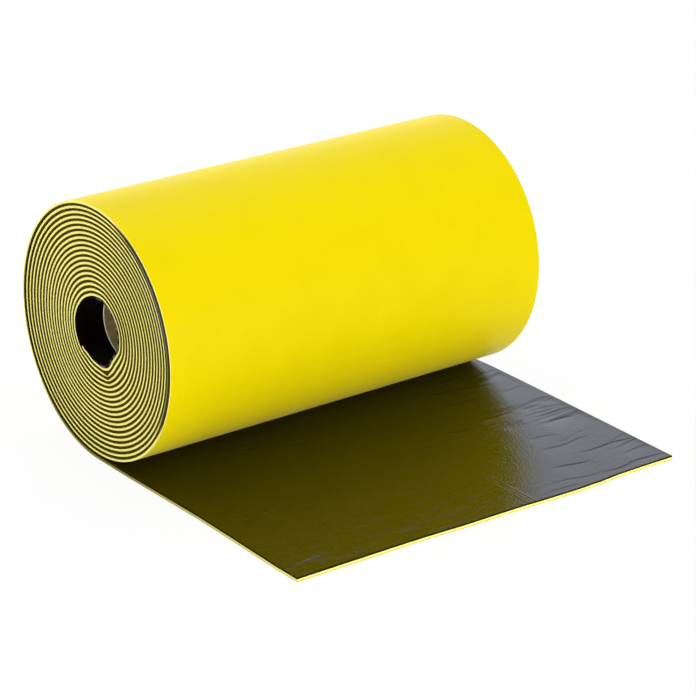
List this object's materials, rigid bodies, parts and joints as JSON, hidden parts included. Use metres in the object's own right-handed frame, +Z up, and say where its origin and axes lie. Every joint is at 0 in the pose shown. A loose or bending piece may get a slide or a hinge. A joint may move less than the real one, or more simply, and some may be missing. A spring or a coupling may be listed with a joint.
{
  "type": "insulation roll",
  "caption": "Roll of two-layer insulation sheet, yellow foam with a glossy dark facing, wound foam side out on a recessed cardboard core, with its free end laid flat in front.",
  "frame": {"origin": "on the floor, straight under the roll's axis, halfway along its width", "axes": "+X along the roll's axis, +Z up, and the unrolled end lies towards -Y"},
  "size_m": [0.5, 0.5115, 0.2911],
  "materials": {
    "yellow_foam": "satin",
    "dark_facing": "gloss",
    "core_board": "matte"
  },
  "bodies": {
    "root": {"foam_sheet": "yellow_foam", "facing_layer": "dark_facing", "core_tube": "core_board"}
  },
  "joints": []
}
